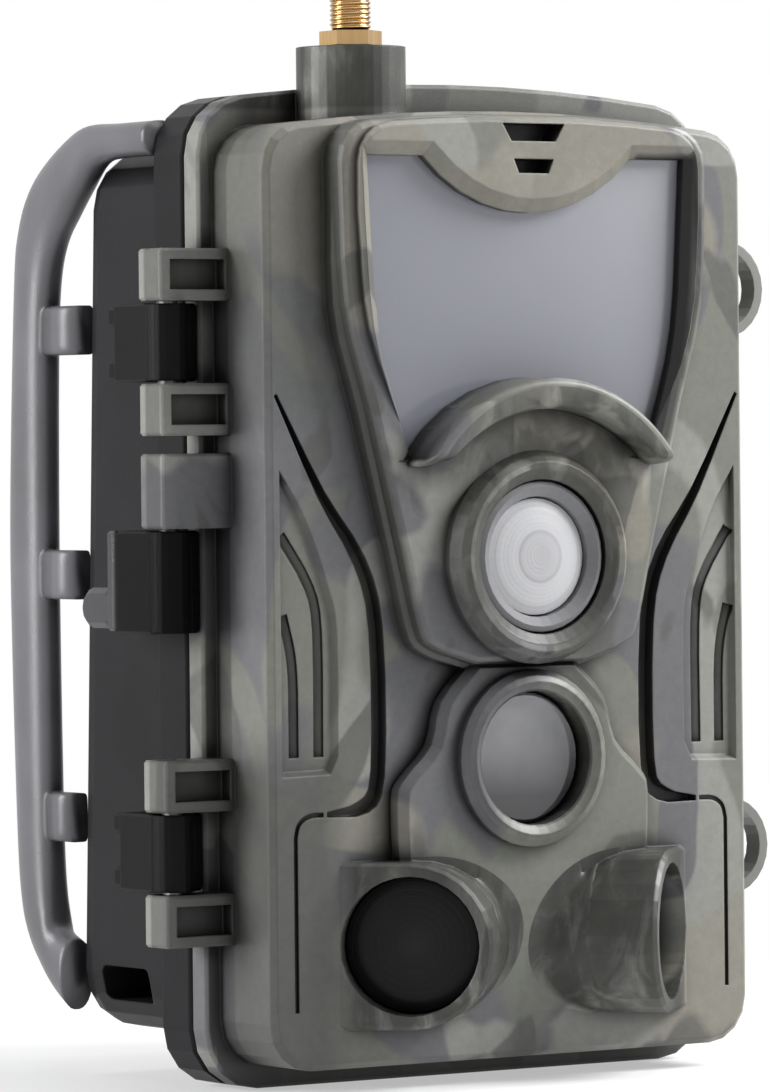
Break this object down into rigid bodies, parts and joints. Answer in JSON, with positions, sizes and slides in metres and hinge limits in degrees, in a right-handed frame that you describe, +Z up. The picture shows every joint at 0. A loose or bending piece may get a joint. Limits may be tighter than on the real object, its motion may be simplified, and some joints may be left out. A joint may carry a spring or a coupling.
{
  "type": "trail camera",
  "caption": "Weatherproof trail camera: camo front half hinged to a black battery case, infrared window, hooded motion sensor, lens window, side sensors, latches and strap rails.",
  "frame": {"origin": "underside of the rear case rim, halfway across, halfway through the rim's depth", "axes": "+Z up, the lens faces -Y, +X is to the right of someone who looks at the lens"},
  "size_m": [0.1131, 0.0832, 0.163],
  "materials": {
    "camo_plastic": "moulded shell with a printed woodland camo pattern",
    "black_plastic": "satin moulded",
    "rubber": "soft seal",
    "tinted_panel": "polished tinted panel",
    "milky_lens": "milky moulded Fresnel lens",
    "grey_ring": "satin moulded",
    "dark_glass": "polished dark glass",
    "dark_lens": "dark moulded Fresnel lens",
    "steel": "plain steel",
    "gold": "gold plated brass",
    "brass": "plain brass",
    "circuit_board": "solder-masked board",
    "cell_sleeve": "plain shrink sleeve",
    "soft_key": "soft keypad rubber"
  },
  "bodies": {
    "rear_half": {"rear_case": "black_plastic", "gasket": "rubber", "tripod_insert": "brass", "strap_rail_left": "black_plastic", "strap_rail_right": "black_plastic", "battery_tray": "black_plastic", "lock_block": "black_plastic", "contact_spring_1": "steel", "contact_spring_2": "steel", "contact_plain_1": "steel", "contact_plain_2": "steel", "cell_1_1": "cell_sleeve", "cell_1_2": "cell_sleeve", "cell_1_3": "cell_sleeve", "cell_1_4": "cell_sleeve", "cell_2_1": "cell_sleeve", "cell_2_2": "cell_sleeve", "cell_2_3": "cell_sleeve", "cell_2_4": "cell_sleeve", "hinge_pin_upper": "steel", "hinge_pin_lower": "steel", "latch_pin_upper": "steel", "latch_pin_lower": "steel"},
    "front_half": {"front_shell": "camo_plastic", "led_window": "tinted_panel", "led_board": "circuit_board", "pir_ring": "grey_ring", "pir_lens": "milky_lens", "pir_sensor": "steel", "lens_glass": "dark_glass", "camera_module": "black_plastic", "side_lens_left": "dark_lens", "side_lens_right": "dark_lens", "side_sensor_left": "steel", "side_sensor_right": "steel", "coax_jack": "gold", "jack_nut": "gold", "main_board": "circuit_board", "inner_panel": "black_plastic", "screen": "dark_glass", "speaker": "steel", "panel_screw_1": "steel", "panel_screw_2": "steel", "panel_screw_3": "steel", "panel_screw_4": "steel"},
    "upper_latch": {"latch_upper": "black_plastic"},
    "lower_latch": {"latch_lower": "black_plastic"},
    "hinge_lock": {"lock_slide": "black_plastic"},
    "ok_key": {"key_ok": "soft_key"},
    "up_key": {"key_up": "soft_key"},
    "down_key": {"key_down": "soft_key"},
    "left_key": {"key_left": "soft_key"},
    "right_key": {"key_right": "soft_key"},
    "mode_slider": {"mode_switch": "soft_key"}
  },
  "joints": [
    {"name": "case_hinge", "type": "hinge", "parent": "rear_half", "child": "front_half", "pos_m": [-0.0513, -0.00845, 0.074], "axis": [0, 0, -1], "range_deg": [0, 165]},
    {"name": "upper_latch_pivot", "type": "hinge", "parent": "rear_half", "child": "upper_latch", "pos_m": [0.0493, 0.0018, 0.1177], "axis": [0, 0, 1], "range_deg": [0, 80]},
    {"name": "lower_latch_pivot", "type": "hinge", "parent": "rear_half", "child": "lower_latch", "pos_m": [0.0493, 0.0018, 0.032], "axis": [0, 0, 1], "range_deg": [0, 80]},
    {"name": "hinge_lock_slide", "type": "slide", "parent": "rear_half", "child": "hinge_lock", "axis": [0, 0, -1], "range_m": [0, 0.006]},
    {"name": "ok_key_press", "type": "slide", "parent": "front_half", "child": "ok_key", "axis": [0, -1, 0], "range_m": [0, 0.0005], "stiffness_N_per_m": 400},
    {"name": "up_key_press", "type": "slide", "parent": "front_half", "child": "up_key", "axis": [0, -1, 0], "range_m": [0, 0.0005], "stiffness_N_per_m": 400},
    {"name": "down_key_press", "type": "slide", "parent": "front_half", "child": "down_key", "axis": [0, -1, 0], "range_m": [0, 0.0005], "stiffness_N_per_m": 400},
    {"name": "left_key_press", "type": "slide", "parent": "front_half", "child": "left_key", "axis": [0, -1, 0], "range_m": [0, 0.0005], "stiffness_N_per_m": 400},
    {"name": "right_key_press", "type": "slide", "parent": "front_half", "child": "right_key", "axis": [0, -1, 0], "range_m": [0, 0.0005], "stiffness_N_per_m": 400},
    {"name": "mode_slider_slide", "type": "slide", "parent": "front_half", "child": "mode_slider", "axis": [0, 0, 1], "range_m": [-0.003, 0.003]}
  ]
}
